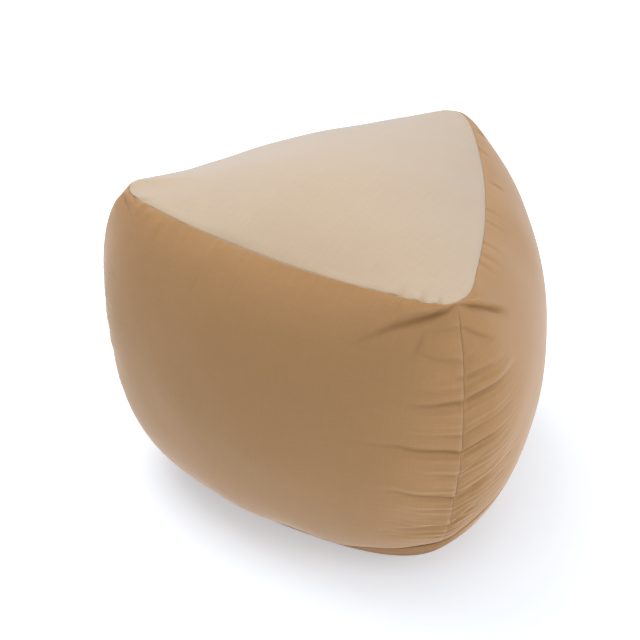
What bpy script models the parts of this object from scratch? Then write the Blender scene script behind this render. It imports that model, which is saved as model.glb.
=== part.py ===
"""Triangular bead cushion: a low floor seat filled with fine beads.

Five panels of cloth are sewn round the filling: a crowned three-cornered top, three bowed sides that meet
in upright seams at the corners, and a bottom that curves up a little way to meet the sides and is flat where
it rests. The upright axis runs through the middle of the base, +Z is up, and the front side faces -Y. Sizes
are in metres and angles in degrees. A place on the wall, which runs from the top seam down to the flat, is
given by its angle about the axis and its row, from 0 at the top seam to 1 at the flat.
"""

from collections import namedtuple
import math

import bmesh
import bpy
from mathutils import Vector

NAME = "triangular_bead_cushion"

# Height of the top seam above the surface the cushion rests on, and of the crown above that seam
TOP_SEAM_HEIGHT = 0.461
CROWN = 0.049

# Cloth, and the small clearances between the sewn pieces
CLOTH = 0.0020
SEAM_GAP = 0.0004
FILLING_GAP = 0.0008

# Sewn channel along every seam
CHANNEL_DEPTH = 0.0018
CHANNEL_WIDTH = 0.0060

# Outlines of the top seam and of the flat underneath, seen from above. A side bows from its waist, which is
# the distance from the axis at its middle, out to the corners at its reach, and ease is how far in angle a
# corner is rounded.
Outline = namedtuple("Outline", "reach waist ease")
TOP_OUTLINE = Outline(reach=0.327, waist=0.192, ease=3.72)
FLAT_OUTLINE = Outline(reach=0.284, waist=0.143, ease=8.42)

# Profile of the wall: how far the cloth runs on over the shoulder, how steeply it falls away there, and how
# far it runs on along the floor before it turns up at the foot
Profile = namedtuple("Profile", "shoulder fall foot")
SIDE_PROFILE = Profile(shoulder=0.1565, fall=20.4, foot=0.1755)
CORNER_PROFILE = Profile(shoulder=0.0390, fall=8.0, foot=0.1140)
CORNER_EASE = 4.70
PROFILE_POWER = 7.6
HEIGHT_POWER = 2.7

# Corners: near, back and left, each with its angle, the height of the top seam there and its fuller shoulder
Corner = namedtuple("Corner", "angle height extra_shoulder")
CORNERS = (
    Corner(angle=-30.0, height=0.465, extra_shoulder=0.0),
    Corner(angle=90.0, height=0.464, extra_shoulder=0.0055),
    Corner(angle=210.0, height=0.461, extra_shoulder=0.0530),
)

# The back side falls away faster below its seam and runs out further: how much more it falls, how much
# further its shoulder runs, and how many degrees in from its corners this has come in full
Slump = namedtuple("Slump", "middle ease fall shoulder")
SLUMP = Slump(middle=150.0, ease=8.0, fall=26.0, shoulder=0.034)

# Side panels, each with the angle that its middle faces
SIDES = (("side_panel_front", -90.0), ("side_panel_right", 30.0), ("side_panel_back", 150.0))
HALF_SIDE = 60.0

# Height of the bottom seam, once round from the middle of the front. It is drawn up at the corners, and most
# of all along the right side, where the bottom panel curves further up.
SeamPoint = namedtuple("SeamPoint", "angle height")
BOTTOM_SEAM = (
    SeamPoint(-90.0, 0.028),
    SeamPoint(-60.0, 0.030),
    SeamPoint(-50.0, 0.054),
    SeamPoint(-40.0, 0.058),
    SeamPoint(-30.0, 0.059),
    SeamPoint(-25.0, 0.070),
    SeamPoint(-18.0, 0.105),
    SeamPoint(-8.0, 0.126),
    SeamPoint(30.0, 0.118),
    SeamPoint(70.0, 0.090),
    SeamPoint(90.0, 0.066),
    SeamPoint(115.0, 0.044),
    SeamPoint(150.0, 0.034),
    SeamPoint(190.0, 0.042),
    SeamPoint(210.0, 0.064),
    SeamPoint(232.0, 0.038),
)

# Folds that cross a corner seam. Row is the place down the corner seam, climb is how many rows the fold has
# risen CLIMB_SPAN degrees before and after the corner, and reach is where it has died away on either side. A
# fold also fades within FOLD_FADE of the top and bottom seams, and the cloth stands out in a ridge above it.
Fold = namedtuple("Fold", "corner row climb_before climb_after reach_before reach_after depth width")
CLIMB_SPAN = 12.0
FOLDS = (
    Fold(0, 0.032, -0.066, -0.100, 32.0, 16.0, 0.0075, 0.012),
    Fold(0, 0.317, 0.000, 0.012, 18.0, 18.0, 0.0042, 0.009),
    Fold(0, 0.384, 0.004, 0.018, 14.0, 15.0, 0.0022, 0.009),
    Fold(0, 0.432, 0.010, 0.005, 24.0, 14.0, 0.0046, 0.010),
    Fold(0, 0.490, 0.004, 0.040, 13.0, 15.0, 0.0026, 0.009),
    Fold(0, 0.558, 0.015, 0.020, 22.0, 14.0, 0.0044, 0.010),
    Fold(0, 0.648, -0.012, 0.040, 18.0, 9.0, 0.0036, 0.010),
    Fold(1, 0.036, -0.075, -0.066, 16.0, 22.0, 0.0050, 0.011),
    Fold(1, 0.335, 0.006, 0.002, 13.0, 17.0, 0.0030, 0.010),
    Fold(1, 0.450, 0.002, 0.008, 18.0, 14.0, 0.0038, 0.010),
    Fold(1, 0.572, 0.006, 0.004, 14.0, 17.0, 0.0034, 0.010),
    Fold(1, 0.660, 0.002, 0.006, 12.0, 13.0, 0.0030, 0.010),
    Fold(2, 0.038, -0.060, -0.066, 20.0, 14.0, 0.0045, 0.011),
    Fold(2, 0.350, 0.004, 0.006, 15.0, 12.0, 0.0028, 0.010),
    Fold(2, 0.478, 0.008, 0.002, 13.0, 16.0, 0.0036, 0.010),
    Fold(2, 0.585, 0.004, 0.006, 16.0, 13.0, 0.0034, 0.010),
    Fold(2, 0.672, 0.002, 0.000, 11.0, 14.0, 0.0028, 0.010),
)
FOLD_FADE = 0.0130
RIDGE_SHARE = 0.55
RIDGE_OFFSET = 1.9
WALL_LENGTH = 0.57

# The filling doesn't reach into the folds at the corners: how far it stands back there, over how many degrees
# to either side, and the share of it that is left right at the top and bottom seams, a ramp's length away
STAND_BACK = 0.0100
STAND_BACK_SPREAD = 22.0
STAND_BACK_AT_SEAM = 0.30
STAND_BACK_RAMP = 0.0020

# How the pieces are divided. Columns crowd towards the corners. The rows of a side come in runs, close
# together over the shoulder and in the folds, and the last run spreads out to the bottom seam. A row is lower
# at a corner than beside it, as the folds are, by up to ROW_SAG.
HALF_COLUMNS = 10
COLUMN_POWER = 1.7
RowRun = namedtuple("RowRun", "end steps")
ROW_RUNS = (RowRun(0.08, 5), RowRun(0.28, 4), RowRun(0.56, 18))
LAST_RUN_STEPS = 7
ROW_SAG = 0.055
ROW_SAG_REACH = 15.0
TOP_RINGS = (0.0, 0.30, 0.56, 0.78, 0.91, 0.965, 1.0)
BOTTOM_RINGS = (0.0, 0.08, 0.22, 0.42, 0.62, 0.81, 1.0)
WELD = 0.00001
ANGLE_STEP = 0.2
ROW_STEP = 0.004
HALVINGS = 30

# Cloth colours, roughness and metallic value
Finish = namedtuple("Finish", "colour roughness metallic")
LIGHT_KNIT = Finish(colour=(0.60, 0.48, 0.36, 1.0), roughness=0.85, metallic=0.0)
TAN_WEAVE = Finish(colour=(0.43, 0.25, 0.12, 1.0), roughness=0.80, metallic=0.0)
TAN_SHADE = Finish(colour=(0.31, 0.18, 0.09, 1.0), roughness=0.90, metallic=0.0)


def clear_scene():
    """Remove what the file opened with."""
    for thing in list(bpy.data.objects):
        bpy.data.objects.remove(thing, do_unlink=True)


def blend(first, second, share):
    """The value a share of the way from the first to the second."""
    return first + (second - first) * share


def nearest_corner(angle):
    """The corner nearest an angle about the axis, by its index, and the signed turn from it."""
    turns = [(angle - corner.angle + 180.0) % 360.0 - 180.0 for corner in CORNERS]
    index = min(range(len(CORNERS)), key=lambda k: abs(turns[k]))
    return index, turns[index]


def bow(outline):
    """How far behind the axis the bow of a side is centred, and its radius."""
    behind = (outline.reach ** 2 - outline.waist ** 2) / (2.0 * outline.waist - outline.reach)
    return behind, outline.waist + behind


def outline_radius(outline, angle):
    """Distance from the axis to a bowed three-cornered outline."""
    _, turn = nearest_corner(angle)
    behind, radius = bow(outline)
    from_middle = math.radians(HALF_SIDE - math.hypot(turn, outline.ease))
    return math.sqrt(radius ** 2 - (behind * math.sin(from_middle)) ** 2) - behind * math.cos(from_middle)


def cornerness(angle):
    """0 at the middle of a side and 1 at a corner, rounded off at the corner."""
    _, turn = nearest_corner(angle)
    share = (HALF_SIDE - math.hypot(turn, CORNER_EASE)) / (HALF_SIDE - CORNER_EASE)
    return min(max(share, 0.0), 1.0)


def top_seam_height(angle):
    """Height of the top seam."""
    index, _ = nearest_corner(angle)
    return blend(TOP_SEAM_HEIGHT, CORNERS[index].height, cornerness(angle) ** HEIGHT_POWER)


def profile_at(angle):
    """The profile of the wall."""
    index, _ = nearest_corner(angle)
    share = cornerness(angle) ** PROFILE_POWER
    shoulder, fall, foot = (blend(side, corner, share) for side, corner in zip(SIDE_PROFILE, CORNER_PROFILE))
    inside = (HALF_SIDE - abs((angle - SLUMP.middle + 180.0) % 360.0 - 180.0)) / SLUMP.ease
    inside = min(max(inside, 0.0), 1.0)
    slumped = inside ** 2 * (3.0 - 2.0 * inside)
    shoulder += share * CORNERS[index].extra_shoulder + slumped * SLUMP.shoulder
    return Profile(shoulder, fall + slumped * SLUMP.fall, foot)


def polar(radius, angle, height):
    """A point from its distance to the axis, its angle about it and its height."""
    return Vector((radius * math.cos(math.radians(angle)), radius * math.sin(math.radians(angle)), height))


def smooth_wall(angle, row):
    """A point on the wall without folds: a cubic curve out over the shoulder, down and in to the flat."""
    _, turn = nearest_corner(angle)
    sag = max(0.0, 1.0 - abs(turn) / ROW_SAG_REACH)
    down = row + ROW_SAG * 4.0 * row * (1.0 - row) * sag
    up = 1.0 - down
    profile = profile_at(angle)
    fall = math.radians(profile.fall)
    top_radius = outline_radius(TOP_OUTLINE, angle)
    top_height = top_seam_height(angle)
    flat_radius = outline_radius(FLAT_OUTLINE, angle)
    points = (
        (top_radius, top_height),
        (top_radius + profile.shoulder * math.cos(fall), top_height - profile.shoulder * math.sin(fall)),
        (flat_radius + profile.foot, 0.0),
        (flat_radius, 0.0),
    )
    weights = (up ** 3, 3.0 * up * up * down, 3.0 * up * down * down, down ** 3)
    radius = sum(weight * point[0] for weight, point in zip(weights, points))
    height = sum(weight * point[1] for weight, point in zip(weights, points))
    return polar(radius, angle, height)


def bottom_seam_height(angle):
    """Height of the bottom seam: a smooth curve through its points, once round."""
    count = len(BOTTOM_SEAM)

    def point(k):
        return BOTTOM_SEAM[k % count].angle + 360.0 * (k // count), BOTTOM_SEAM[k % count].height

    def slope(k):
        (before, height_before), (after, height_after) = point(k - 1), point(k + 1)
        return (height_after - height_before) / (after - before)

    place = (angle - BOTTOM_SEAM[0].angle) % 360.0 + BOTTOM_SEAM[0].angle
    passed = sum(at.angle <= place for at in BOTTOM_SEAM)
    (start, height_start), (end, height_end) = point(passed - 1), point(passed)
    share = (place - start) / (end - start)
    bend = slope(passed - 1) * (1.0 - share) - slope(passed) * share
    level = blend(height_start, height_end, (3.0 - 2.0 * share) * share ** 2)
    return level + (end - start) * share * (1.0 - share) * bend


def bottom_seam_row(angle):
    """The row of the bottom seam, found by halving, because the wall only goes down."""
    height = bottom_seam_height(angle)
    above = 0.0
    below = 1.0
    for _ in range(HALVINGS):
        middle = 0.5 * (above + below)
        if smooth_wall(angle, middle).z > height:
            above = middle
        else:
            below = middle
    return above


def fold_relief(angle, row):
    """How far the folds push the cloth out (+) or let it sink (-)."""
    index, turn = nearest_corner(angle)
    relief = 0.0
    for fold in FOLDS:
        reach = fold.reach_before if turn < 0.0 else fold.reach_after
        climb = fold.climb_before if turn < 0.0 else fold.climb_after
        if fold.corner != index or abs(turn) >= reach:
            continue
        below = (row - fold.row + climb * abs(turn) / CLIMB_SPAN) * WALL_LENGTH / fold.width
        strength = fold.depth * (1.0 - (turn / reach) ** 2) ** 2
        relief -= strength * math.exp(-below ** 2)
        relief += strength * RIDGE_SHARE * math.exp(-(below + RIDGE_OFFSET) ** 2)
    return relief


def channel_relief(distance):
    """How far a seam draws the cloth in, at a distance from it."""
    return -CHANNEL_DEPTH * math.exp(-(distance / CHANNEL_WIDTH) ** 2)


def raised(angle, row, relief):
    """A point of the smooth wall, moved out along its normal by a relief."""
    around = smooth_wall(angle + ANGLE_STEP, row) - smooth_wall(angle - ANGLE_STEP, row)
    down = smooth_wall(angle, row + ROW_STEP) - smooth_wall(angle, row - ROW_STEP)
    return smooth_wall(angle, row) + down.cross(around).normalized() * relief


def seam_distances(angle, row, seam_row):
    """Distances over the cloth from the nearer of the top and bottom seams, and from the corner seam."""
    _, turn = nearest_corner(angle)
    from_ring = min(3.0 * profile_at(angle).shoulder * row, WALL_LENGTH * abs(seam_row - row))
    return from_ring, TOP_OUTLINE.reach * math.radians(abs(turn))


def side_point(angle, row, seam_row):
    """A point on a side panel, with its folds and the channels along its seams."""
    from_ring, from_corner = seam_distances(angle, row, seam_row)
    relief = channel_relief(min(from_ring, from_corner))
    return raised(angle, row, relief + fold_relief(angle, row) * min(1.0, from_ring / FOLD_FADE))


def filling_point(angle, row, seam_row):
    """A point on the filling's side, which stands back at the corners, where the cloth folds in over it."""
    _, turn = nearest_corner(angle)
    from_ring, from_corner = seam_distances(angle, row, seam_row)
    full = min(1.0, blend(STAND_BACK_AT_SEAM, 1.0, from_ring / STAND_BACK_RAMP))
    standing = STAND_BACK * full * math.exp(-(turn / STAND_BACK_SPREAD) ** 2)
    return raised(angle, row, channel_relief(min(from_ring, from_corner)) - standing)


def bottom_point(angle, row, seam_row):
    """A point on the curved rim of the bottom, from the bottom seam in to the flat."""
    return raised(angle, row, channel_relief(WALL_LENGTH * (row - seam_row)) * (1.0 - row))


def fullness(point):
    """1 over the middle of the top and 0 on the bows of its outline, which gives a dome with round levels."""
    behind, radius = bow(TOP_OUTLINE)
    full = 1.0
    for _, middle in SIDES:
        from_bow = radius - (point - polar(-behind, middle, 0.0)).length
        full *= max(from_bow, 0.0) / TOP_OUTLINE.waist
    return full


def top_point(angle, share):
    """A point on the top, from 0 at its middle to 1 at the top seam, with the channel along that seam."""
    seam_radius = outline_radius(TOP_OUTLINE, angle)
    level = polar(share * seam_radius, angle, 0.0)
    dome = fullness(level) - fullness(polar(seam_radius, angle, 0.0)) * share ** 4
    level.z = blend(TOP_SEAM_HEIGHT, top_seam_height(angle), share ** 2) + CROWN * dome
    drawn_in = raised(angle, 0.0, channel_relief((1.0 - share) * seam_radius)) - smooth_wall(angle, 0.0)
    return level + drawn_in


def side_turns(step):
    """Turns from a side's middle out to its corners, where they crowd; step 2 takes every second one."""
    steps = range(0, HALF_COLUMNS + 1, step)
    half = [HALF_SIDE * (1.0 - (k / HALF_COLUMNS) ** COLUMN_POWER) for k in steps]
    return [-turn for turn in half[:-1]] + half[::-1]


def all_round(step):
    """Angles once round the axis, ending where they start."""
    angles = [middle + turn for _, middle in SIDES for turn in side_turns(step)[:-1]]
    return angles + [angles[0] + 360.0]


def side_rows(seam_row):
    """Rows of a side from the top seam to the bottom seam, the same everywhere but in the last run."""
    rows = [0.0]
    for run in ROW_RUNS + (RowRun(seam_row, LAST_RUN_STEPS),):
        start = rows[-1]
        rows += [blend(start, run.end, (k + 1) / run.steps) for k in range(run.steps)]
    return rows


def clear_of_seams(angle, row, seam_row):
    """A row of a side panel, moved just clear of the top seam and the bottom seam."""
    first = SEAM_GAP / (3.0 * profile_at(angle).shoulder)
    last = seam_row - SEAM_GAP / WALL_LENGTH
    return min(max(row, first), last)


def lay_grid(columns, rows, place):
    """A flat grid of faces laid over a surface: place gives the point for a column and a row."""
    bm = bmesh.new()
    across = len(columns) - 1
    down = len(rows) - 1
    bmesh.ops.create_grid(bm, x_segments=across, y_segments=down, size=0.5)
    for vert in bm.verts:
        column = columns[round((vert.co.x + 0.5) * across)]
        row = rows[round((0.5 - vert.co.y) * down)]
        vert.co = place(column, row)
    bmesh.ops.remove_doubles(bm, verts=bm.verts, dist=WELD)
    bmesh.ops.dissolve_degenerate(bm, edges=bm.edges, dist=WELD)
    return bm


def close_flat(bm):
    """Fill the lowest ring of a round grid with one flat face."""
    lowest = min(vert.co.z for vert in bm.verts)
    ring = [edge for edge in bm.edges if all(vert.co.z < lowest + WELD for vert in edge.verts)]
    bmesh.ops.edgeloop_fill(bm, edges=ring)


def make_material(name, finish):
    """A plain cloth material."""
    material = bpy.data.materials.new(name + "_cloth")
    material.use_nodes = True
    shader = material.node_tree.nodes["Principled BSDF"]
    shader.inputs["Base Color"].default_value = finish.colour
    shader.inputs["Roughness"].default_value = finish.roughness
    shader.inputs["Metallic"].default_value = finish.metallic
    return material


def add_piece(collection, name, bm, finish):
    """Turn laid faces into a named object with its own material."""
    mesh = bpy.data.meshes.new(name)
    bm.to_mesh(mesh)
    bm.free()
    mesh.shade_smooth()
    mesh.materials.append(make_material(name, finish))
    piece = bpy.data.objects.new(name, mesh)
    collection.objects.link(piece)
    return piece


def add_sheet(collection, name, bm, finish):
    """A sewn panel: the laid faces given the cloth's thickness inwards."""
    piece = add_piece(collection, name, bm, finish)
    cloth = piece.modifiers.new("cloth", "SOLIDIFY")
    cloth.thickness = CLOTH
    cloth.offset = -1.0
    cloth.use_even_offset = True


def make_side_panels(collection):
    """Three bowed panels, each between two corner seams, the top seam and the bottom seam."""
    edge = HALF_SIDE - math.degrees(SEAM_GAP / TOP_OUTLINE.reach)
    turns = [min(max(turn, -edge), edge) for turn in side_turns(1)]

    def place(column, k):
        angle, rows = column
        return side_point(angle, clear_of_seams(angle, rows[k], rows[-1]), rows[-1])

    for name, middle in SIDES:
        columns = [(middle + turn, side_rows(bottom_seam_row(middle + turn))) for turn in turns]
        bm = lay_grid(columns, range(len(columns[0][1])), place)
        add_sheet(collection, name, bm, TAN_WEAVE)


def make_top_panel(collection):
    """The crowned top, inside the top seam."""
    inside = 1.0 - SEAM_GAP / TOP_OUTLINE.waist
    bm = lay_grid(all_round(1), TOP_RINGS, lambda angle, ring: top_point(angle, ring * inside))
    add_sheet(collection, "top_panel", bm, LIGHT_KNIT)


def make_bottom_panel(collection):
    """The bottom, which curves in from the bottom seam to the flat that it rests on."""

    def place(column, ring):
        angle, seam_row = column
        return bottom_point(angle, blend(seam_row + SEAM_GAP / WALL_LENGTH, 1.0, ring), seam_row)

    columns = [(angle, bottom_seam_row(angle)) for angle in all_round(1)]
    bm = lay_grid(columns, BOTTOM_RINGS, place)
    close_flat(bm)
    add_sheet(collection, "bottom_panel", bm, TAN_WEAVE)


def make_filled_body(collection):
    """The filled form inside the panels: one solid with its crown, drawn-in corners and sewn channels."""

    def on_top(angle, rows, ring):
        return top_point(angle, ring)

    def on_side(angle, rows, k):
        return filling_point(angle, rows[k], rows[-1])

    def on_bottom(angle, rows, ring):
        return bottom_point(angle, blend(rows[-1], 1.0, ring), rows[-1])

    columns = [(angle, side_rows(bottom_seam_row(angle))) for angle in all_round(2)]
    side_count = len(columns[0][1])
    places = [(on_top, ring) for ring in TOP_RINGS[:-1]]
    places += [(on_side, k) for k in (0, 1, *range(2, side_count, 2))]
    places += [(on_bottom, ring) for ring in BOTTOM_RINGS[1:]]
    bm = lay_grid(columns, places, lambda column, place: place[0](*column, place[1]))
    close_flat(bm)
    body = add_piece(collection, "filled_body", bm, TAN_SHADE)
    inset = body.modifiers.new("inside_the_cloth", "DISPLACE")
    inset.direction = "NORMAL"
    inset.mid_level = 0.0
    inset.strength = -(CLOTH + FILLING_GAP)


def main():
    """Build the cushion."""
    clear_scene()
    collection = bpy.data.collections.new(NAME)
    bpy.context.scene.collection.children.link(collection)
    make_filled_body(collection)
    make_side_panels(collection)
    make_top_panel(collection)
    make_bottom_panel(collection)


main()
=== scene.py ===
"""The looks of a triangular bead cushion: five panels of cloth sewn round a filling of fine beads.

Lengths are in metres and angles in degrees. A place on the wall, which runs from the top seam down to the
flat that the cushion rests on, is given by its angle about the upright axis and its row, from 0 at the top
seam to 1 at the flat. A place on the top or the bottom is given by its angle and its share of the way out to
the seam.
"""

from collections import namedtuple
import math

import bpy
import numpy as np
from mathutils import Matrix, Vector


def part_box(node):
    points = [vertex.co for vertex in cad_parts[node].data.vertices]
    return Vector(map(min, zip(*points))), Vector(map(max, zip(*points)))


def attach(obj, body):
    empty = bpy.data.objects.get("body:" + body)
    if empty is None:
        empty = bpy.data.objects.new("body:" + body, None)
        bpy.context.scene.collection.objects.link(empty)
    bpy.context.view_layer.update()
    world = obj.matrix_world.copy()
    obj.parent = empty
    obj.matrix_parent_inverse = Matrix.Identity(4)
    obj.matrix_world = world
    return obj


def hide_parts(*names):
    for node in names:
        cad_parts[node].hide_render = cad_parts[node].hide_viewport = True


bl_info = {
    "name": "Triangular bead cushion",
    "version": (1, 0, 0),
    "blender": (4, 5, 0),
    "location": "3D View > Sidebar > Cushion",
    "description": "Makes the cloth, the filling and the studio of a triangular bead cushion",
    "category": "Object",
}

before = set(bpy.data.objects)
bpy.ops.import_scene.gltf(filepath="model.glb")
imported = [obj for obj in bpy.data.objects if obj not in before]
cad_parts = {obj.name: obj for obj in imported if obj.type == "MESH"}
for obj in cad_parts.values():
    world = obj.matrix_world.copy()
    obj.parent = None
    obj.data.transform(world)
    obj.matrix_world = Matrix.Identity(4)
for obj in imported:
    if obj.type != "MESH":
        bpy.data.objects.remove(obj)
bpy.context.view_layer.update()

# Seams and outlines: an outline's distance from the axis at a corner and at the middle of a side, and how
# many degrees its corners are eased over
TOP_SEAM_HEIGHT = 0.461
TOP_OF_CROWN = float(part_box("top_panel")[1][2])
Outline = namedtuple("Outline", "reach waist ease")
TOP_OUTLINE = Outline(reach=0.327, waist=0.192, ease=3.72)
FLAT_OUTLINE = Outline(reach=0.284, waist=0.143, ease=8.42)

# Profile of the wall at the middle of a side and at a corner: how far the cloth is drawn out over the
# shoulder, how steeply it falls there, and how far out past the flat its foot is drawn
Profile = namedtuple("Profile", "shoulder fall foot")
SIDE_PROFILE = Profile(shoulder=0.1565, fall=20.4, foot=0.1755)
CORNER_PROFILE = Profile(shoulder=0.0390, fall=8.0, foot=0.1140)
# Where the top's outline stands out further than its bows: the angle, its spread and the distance
Bulge = namedtuple("Bulge", "angle spread out")
BULGES = (
    Bulge(206.5, 5.0, 0.0070),
    Bulge(-37.0, 3.5, 0.0020),
    Bulge(-22.0, 4.0, 0.0030),
    Bulge(-29.5, 3.0, -0.0030),
)
# Cornerness is eased over so many degrees. The profile and the top seam's height follow these powers of it.
CORNER_EASE = 4.70
PROFILE_POWER = 7.6
HEIGHT_POWER = 2.7
# Length of the wall from the top seam to the flat, and its usual distance from the axis
WALL_LENGTH = 0.57
WALL_RADIUS = 0.30
# How far the rows sag half way down at a corner seam, and over how many degrees
ROW_SAG = 0.055
ROW_SAG_REACH = 15.0
# A cubic Bezier curve leaves its first point at this many times the way to its second
BEZIER_START = 3.0

# Corners: near, back and left, each with the height of the top seam there, its fuller shoulder, and how far
# the filling rounds it out half way down
Corner = namedtuple("Corner", "angle height extra_shoulder fill")
CORNERS = (
    Corner(angle=-30.0, height=0.465, extra_shoulder=0.0, fill=0.0155),
    Corner(angle=90.0, height=0.464, extra_shoulder=0.0055, fill=0.0140),
    Corner(angle=210.0, height=0.461, extra_shoulder=0.0380, fill=0.0040),
)
# The corners are rounded out over so many degrees, and down the wall by this power of a parabola
FILL_SPREAD = 4.8
FILL_POWER = 2.2
# A corner is this many degrees from the middle of a side
HALF_SIDE = 60.0

# The back side falls away faster below its seam and runs out further, from just before its corners to just
# after them
Slump = namedtuple("Slump", "middle half_width ease fall shoulder")
SLUMP = Slump(middle=150.0, half_width=62.0, ease=3.5, fall=29.0, shoulder=0.034)

# Side panels: the piece, the node it replaces, the angle of its middle, and the cut, which is the size of
# the flat cloth
Cut = namedtuple("Cut", "width length area")
SidePanel = namedtuple("SidePanel", "piece node middle cut")
SIDE_PANELS = (
    SidePanel("front_panel_cloth", "side_panel_front", -90.0, Cut(0.66, 0.50, 0.292)),
    SidePanel("right_panel_cloth", "side_panel_right", 30.0, Cut(0.66, 0.44, 0.247)),
    SidePanel("back_panel_cloth", "side_panel_back", 150.0, Cut(0.66, 0.50, 0.290)),
)

# Height of the bottom seam, once round from the middle of the front
SeamPoint = namedtuple("SeamPoint", "angle height")
BOTTOM_SEAM = (
    SeamPoint(-90.0, 0.028),
    SeamPoint(-60.0, 0.030),
    SeamPoint(-50.0, 0.054),
    SeamPoint(-40.0, 0.058),
    SeamPoint(-30.0, 0.059),
    SeamPoint(-25.0, 0.070),
    SeamPoint(-18.0, 0.105),
    SeamPoint(-8.0, 0.126),
    SeamPoint(30.0, 0.118),
    SeamPoint(70.0, 0.090),
    SeamPoint(90.0, 0.066),
    SeamPoint(115.0, 0.044),
    SeamPoint(150.0, 0.034),
    SeamPoint(190.0, 0.042),
    SeamPoint(210.0, 0.064),
    SeamPoint(232.0, 0.038),
)

# Folds that cross a corner seam: row at the seam, how far in rows each has risen CLIMB_SPAN degrees before
# and after the corner, and where it has died away on either side
Fold = namedtuple("Fold", "corner row climb_before climb_after reach_before reach_after depth width")
CLIMB_SPAN = 12.0
FOLDS = (
    Fold(0, 0.035, -0.066, -0.092, 29.0, 20.0, 0.0054, 0.007),
    Fold(0, 0.130, 0.004, -0.092, 9.0, 10.0, 0.0020, 0.006),
    Fold(0, 0.220, 0.040, 0.030, 9.0, 4.0, 0.0018, 0.006),
    Fold(0, 0.260, 0.004, 0.009, 4.0, 14.0, 0.0030, 0.007),
    Fold(0, 0.285, 0.005, 0.010, 17.0, 5.0, 0.0018, 0.005),
    Fold(0, 0.315, 0.000, 0.012, 18.0, 18.0, 0.0056, 0.007),
    Fold(0, 0.350, 0.002, 0.016, 12.0, 12.0, 0.0012, 0.005),
    Fold(0, 0.390, 0.004, 0.018, 12.0, 15.0, 0.0024, 0.006),
    Fold(0, 0.430, 0.010, 0.005, 30.0, 14.0, 0.0058, 0.007),
    Fold(0, 0.460, 0.006, 0.020, 14.0, 10.0, 0.0012, 0.004),
    Fold(0, 0.490, 0.004, 0.045, 14.0, 15.0, 0.0026, 0.006),
    Fold(0, 0.525, 0.010, 0.030, 15.0, 12.0, 0.0015, 0.004),
    Fold(0, 0.555, 0.015, 0.020, 28.0, 13.0, 0.0060, 0.007),
    Fold(0, 0.590, 0.006, 0.030, 16.0, 11.0, 0.0016, 0.004),
    Fold(0, 0.610, 0.000, 0.040, 14.0, 11.0, 0.0018, 0.004),
    Fold(0, 0.645, -0.012, 0.050, 20.0, 9.0, 0.0050, 0.006),
    Fold(0, 0.680, 0.000, 0.040, 20.0, 7.0, 0.0042, 0.006),
    Fold(1, 0.035, -0.075, -0.066, 16.0, 22.0, 0.0042, 0.010),
    Fold(1, 0.335, 0.006, 0.002, 13.0, 17.0, 0.0024, 0.008),
    Fold(1, 0.390, -0.002, 0.006, 17.0, 10.0, 0.0012, 0.006),
    Fold(1, 0.450, 0.002, 0.008, 18.0, 14.0, 0.0030, 0.008),
    Fold(1, 0.510, 0.010, 0.000, 10.0, 15.0, 0.0012, 0.006),
    Fold(1, 0.570, 0.006, 0.004, 14.0, 17.0, 0.0027, 0.008),
    Fold(1, 0.620, 0.002, 0.008, 15.0, 9.0, 0.0012, 0.006),
    Fold(1, 0.660, 0.002, 0.006, 12.0, 13.0, 0.0021, 0.007),
    Fold(2, 0.040, -0.060, -0.066, 20.0, 14.0, 0.0019, 0.010),
    Fold(2, 0.350, 0.004, 0.006, 15.0, 12.0, 0.0023, 0.008),
    Fold(2, 0.420, 0.008, -0.004, 9.0, 14.0, 0.0012, 0.006),
    Fold(2, 0.480, 0.008, 0.002, 13.0, 16.0, 0.0029, 0.008),
    Fold(2, 0.540, 0.002, 0.006, 16.0, 10.0, 0.0012, 0.006),
    Fold(2, 0.585, 0.004, 0.006, 16.0, 13.0, 0.0025, 0.008),
    Fold(2, 0.670, 0.002, 0.000, 11.0, 14.0, 0.0019, 0.007),
)
# Folds fade out this near to the top and bottom seams
FOLD_FADE = 0.013
# The shape across a fold, in widths of the fold: the ridge above it, the sharp part of its trough, and how
# many times gentler its lower slope is
RIDGE_SHARE = 0.50
RIDGE_OFFSET = 1.9
RIDGE_WIDTH = 1.3
SHARP_SHARE = 0.35
SHARP_WIDTH = 0.45
GENTLE = 1.7
# The painted shade along a fold, also in widths, and the depth of fold where that painted shade is darkest
LINE_OFFSET = -0.55
LINE_WIDTH = 0.62
DEEP_FOLD = 0.0050
# The share of a fold that a corner seam holds flat, and how far that reaches
SEAM_HOLD = 0.60
SEAM_HOLD_REACH = 0.0050
# The ends of a corner seam lie covered by the cloth, as if the seam were this far away, over so many rows
SEAM_COVER = 0.020
SEAM_COVER_ROW = 0.065
LOWER_COVER = 0.0024
LOWER_COVER_ROW = 0.16

# Fine wrinkles that run level out of the corner seams: two waves down the wall, which beat with each other.
# Lean is how far they drop with the square of the turn, and spread is in degrees.
Wrinkles = namedtuple("Wrinkles", "pitch other_pitch lean depth spread first_row last_row")
WRINKLES = Wrinkles(
    pitch=0.0105, other_pitch=0.0078, lean=0.4, depth=0.0009, spread=11.0, first_row=0.20, last_row=0.80
)

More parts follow.
